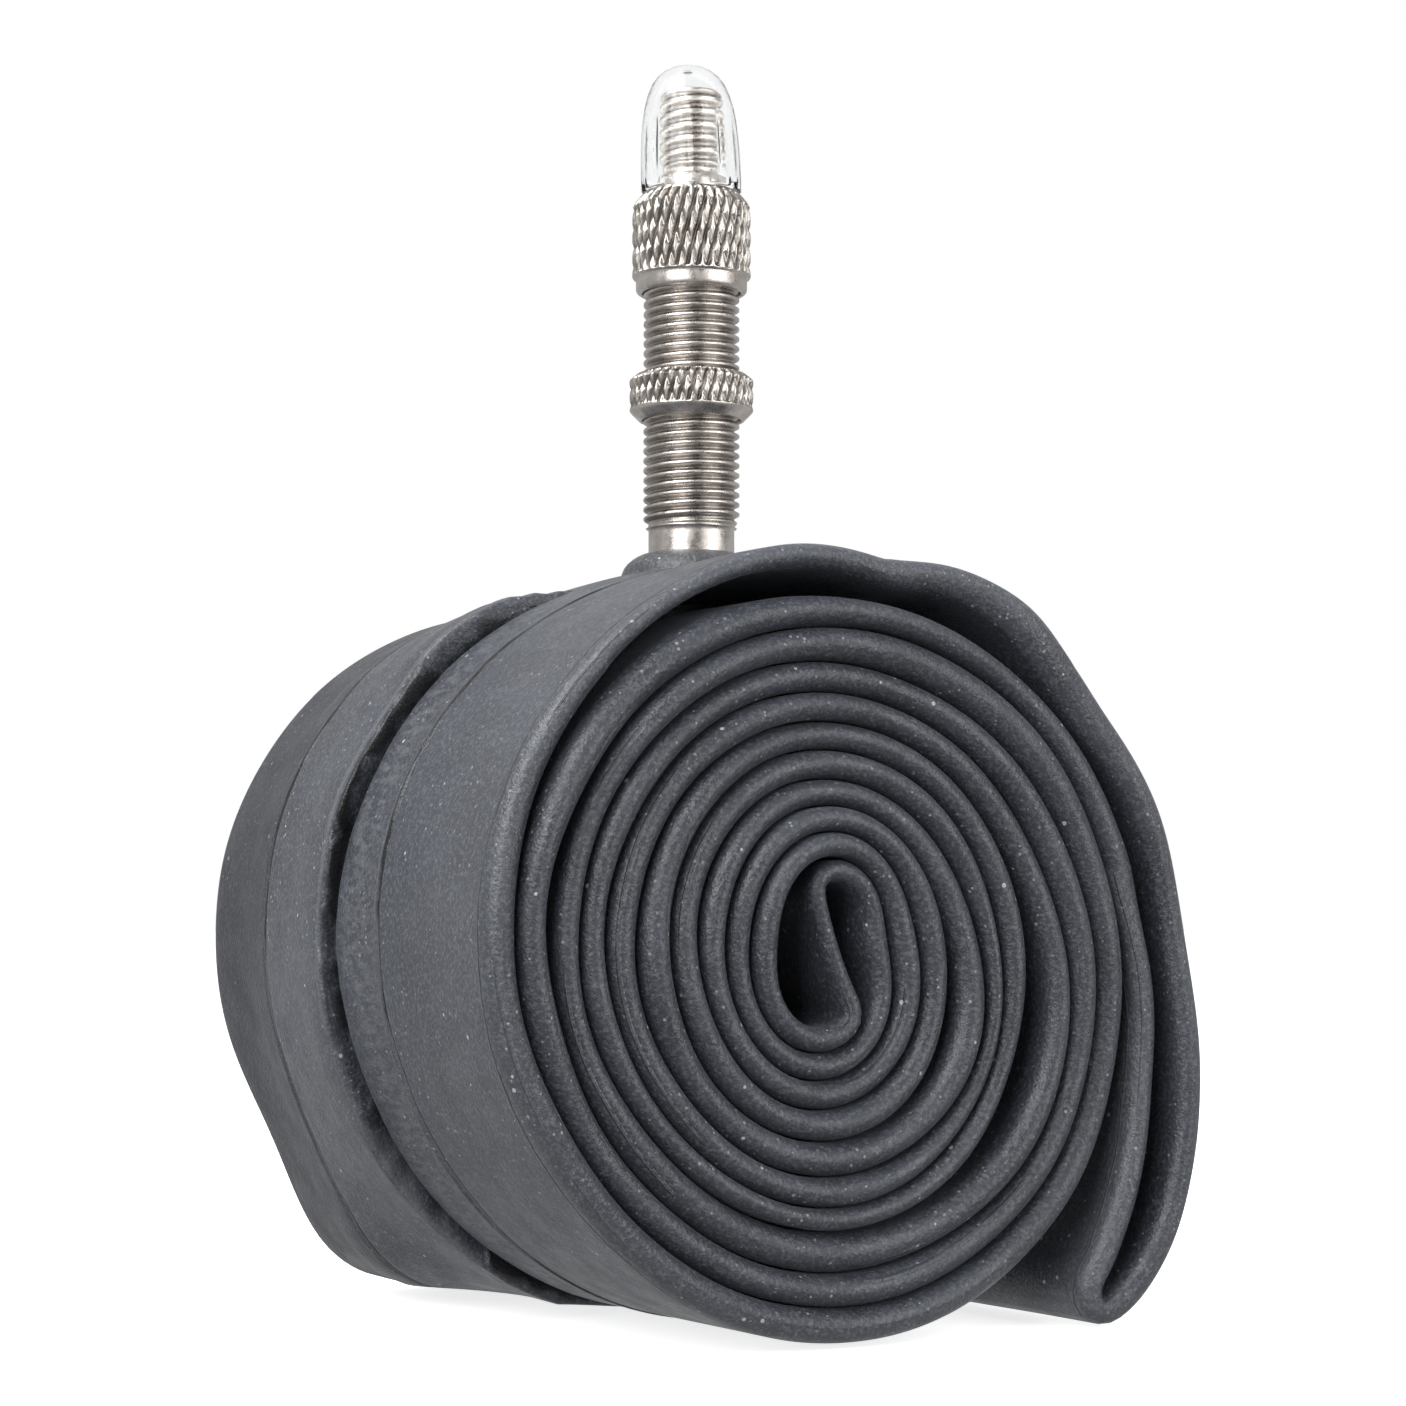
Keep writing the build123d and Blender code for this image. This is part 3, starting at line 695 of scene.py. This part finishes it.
def dust_cap():
    low, top, wall = 89.4, 99.8, 0.3
    profile = [(4.05, low + 0.08), (4.06, 90.4), (4.05, 91.5), (4.01, 92.8), (3.93, 94.1), (3.8, 95.3),
               (3.62, 96.3), (3.36, 97.25), (3.0, 98.12), (2.55, 98.75), (2.0, 99.23), (1.4, 99.54),
               (0.75, 99.74), (0.05, top)]
    inner = [(max(radius - wall, 0.05), height - wall * rise(height, 94, 99), WALL_WEIGHT * (height < 95.6))
             for radius, height in profile[::-1]]
    outline = [(3.6, low, FOOT_WEIGHT), (3.95, low, FOOT_WEIGHT), *smooth_line(profile), *inner]

    def move(angle, radius, height, weight):
        rib = 1 - rise(from_nearest(angle, 0.25, 3.8), *RIB_HALF)
        notch = 1 - rise(from_nearest(angle, 0.83, 4), *NOTCH_HALF)
        ribbed = (weight == WALL_WEIGHT) * rise(height, 90.6, 91.0) * (1 - rise(height, 94.2, 95.0))
        foot = (weight == FOOT_WEIGHT) + (height < low + 0.1) * (weight < FOOT_WEIGHT)
        new_radius = radius - RIB_DEPTH * rib * ribbed
        return new_radius, height + NOTCH_DEPTH * notch * foot, np.zeros_like(new_radius)

    piece = turned("dust_cap_clear", outline, move, 192, "dust_cap", "clear_plastic", plastic, "dust_cap")
    # The cap sits a little askew: how far each millimetre of height moves it, along x and y
    lean_x = 0.26 / (top - low)
    lean_y = 0.58 * lean_x
    for vertex in piece.data.vertices:
        above = vertex.co.z - low * MM
        vertex.co.x -= lean_x * above
        vertex.co.y += lean_y * above


def pad():
    top, bottom, bore = 59.85, 55.2, 3.46
    outline = smooth_line([(bore, top - 0.05), (3.6, top), (4.0, top - 0.12), (4.4, top - 0.3),
                           (4.8, top - 0.55), (5.15, top - 0.85), (5.4, top - 1.2), (5.55, top - 1.6),
                           (5.7, top - 2.1), (6.1, top - 2.45), (7.0, 57.15), (8.0, 56.9), (8.4, 56.5),
                           (8.2, 55.9), (6.0, bottom), (bore, bottom)])

    def move(angle, radius, height, weight):
        wavy = 0.06 * rise(radius, 4.0, 6.0) * np.sin(5 * angle + height)
        return radius + wavy, height, np.zeros_like(wavy)

    turned("pad_moulded", outline, move, 120, "tube_and_stem", "pad_rubber", pad_rubber, "valve_pad")


valve_stem()
rim_nut()
union_nut()
insert()
dust_cap()
pad()

for node, material in (("insert_cage", nickel), ("insert_seal", seal_rubber),
                       ("ball_seat_ring", seal_rubber), ("check_ball", steel)):
    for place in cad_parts[node].material_slots:
        place.material = material


# ---------------------------------------------------------------- floor, panels and light
FLOOR_HALF, FLOOR_HEIGHT = 30.0, -0.0003
FLOOR_GLOW = 0.75
AIM_HEIGHT, CARD_HALF_HEIGHT = 0.06, 0.5


def sheet(name, half_width, half_height, level=0.0):
    """Flat rectangle, in metres."""
    mesh = bpy.data.meshes.new(name)
    signs = [(-1, -1), (1, -1), (1, 1), (-1, 1)]
    corners = [(x * half_width, y * half_height, level) for x, y in signs]
    mesh.from_pydata(corners, [], [(0, 1, 2, 3)])
    return mesh


def pale_floor():
    """Pale floor that adds no light to the object and isn't mirrored in it."""
    nodes = Nodes("pale_floor")
    colour = nodes.mix(nodes.noise(60.0, 2.0), (0.93, 0.93, 0.93), (0.95, 0.95, 0.95))
    nodes.shader.inputs["Emission Color"].default_value = (1, 1, 1, 1)
    nodes.shader.inputs["Emission Strength"].default_value = FLOOR_GLOW
    material = nodes.finish(Base_Color=colour, Roughness=0.9)
    mesh = sheet("floor", FLOOR_HALF, FLOOR_HALF, FLOOR_HEIGHT)
    mesh.materials.append(material)
    floor = bpy.data.objects.new("floor", mesh)
    floor.visible_diffuse = floor.visible_glossy = False
    bpy.context.scene.collection.objects.link(floor)


def facing(name, data, swing, distance, height):
    """Something that faces the object from a direction, in degrees to the right of the camera."""
    turn = CAMERA_YAW - radians(swing)
    spot = (-distance * sin(turn), -distance * cos(turn), height)
    thing = bpy.data.objects.new(name, data)
    bpy.context.scene.collection.objects.link(thing)
    thing.location = spot
    tilt = atan((height - AIM_HEIGHT) / distance)
    thing.rotation_euler = (pi / 2 - tilt, 0, -turn)
    return thing


def softbox(name, swing, half_angle, radiance, height=0.25, tall=0.8, distance=0.75):
    """Wide light, half_angle degrees to each side as the object sees it."""
    data = bpy.data.lights.new(name, "AREA")
    data.shape = "RECTANGLE"
    data.size = 2 * distance * tan(radians(half_angle))
    data.size_y = tall
    data.energy = radiance * pi * data.size * data.size_y
    light = facing(name, data, swing, distance, height)
    light.visible_camera = False


def dark_panel(name, swing, half_angle, tone, distance=0.9, height=0.35):
    """Dark card that shows only in reflections, as studios use for metal."""
    mesh = sheet(name, distance * tan(radians(half_angle)), CARD_HALF_HEIGHT)
    nodes = Nodes(name)
    warmer = (tone * 1.2, tone * 1.18, tone * 1.15)
    colour = nodes.mix(nodes.noise(40.0, 2.0), (tone, tone, tone), warmer)
    mesh.materials.append(nodes.finish(Base_Color=colour, Roughness=0.9))
    card = facing(name, mesh, swing, distance, height)
    card.visible_camera = False
    card.visible_shadow = False


# The backdrop is white to the camera and through the clear cap, and dimmer as a source of light
BACKDROP_LIGHT, BACKDROP_SEEN = 0.55, 1.0

world = bpy.data.worlds.new("studio")
world.use_nodes = True
backdrop = world.node_tree.nodes["Background"]
backdrop.inputs["Color"].default_value = (1, 1, 1, 1)
paths = world.node_tree.nodes.new("ShaderNodeLightPath")
seen = world.node_tree.nodes.new("ShaderNodeMath")
seen.operation = "MAXIMUM"
for number, kind in enumerate(("Is Camera Ray", "Is Transmission Ray")):
    world.node_tree.links.new(paths.outputs[kind], seen.inputs[number])
level = world.node_tree.nodes.new("ShaderNodeMapRange")
level.inputs["To Min"].default_value = BACKDROP_LIGHT
level.inputs["To Max"].default_value = BACKDROP_SEEN
world.node_tree.links.new(seen.outputs[0], level.inputs["Value"])
world.node_tree.links.new(level.outputs[0], backdrop.inputs["Strength"])
bpy.context.scene.world = world

pale_floor()
softbox("left_softbox", -30, 21, 5.9, height=0.5)
softbox("top_softbox", -60, 22, 11.0, height=0.95, tall=0.6, distance=0.5)
softbox("right_softbox", 59, 21, 3.4)
dark_panel("front_card", 17, 19, 0.05)
dark_panel("left_card", -54, 8, 0.1)
dark_panel("right_card", 91, 9, 0.03)
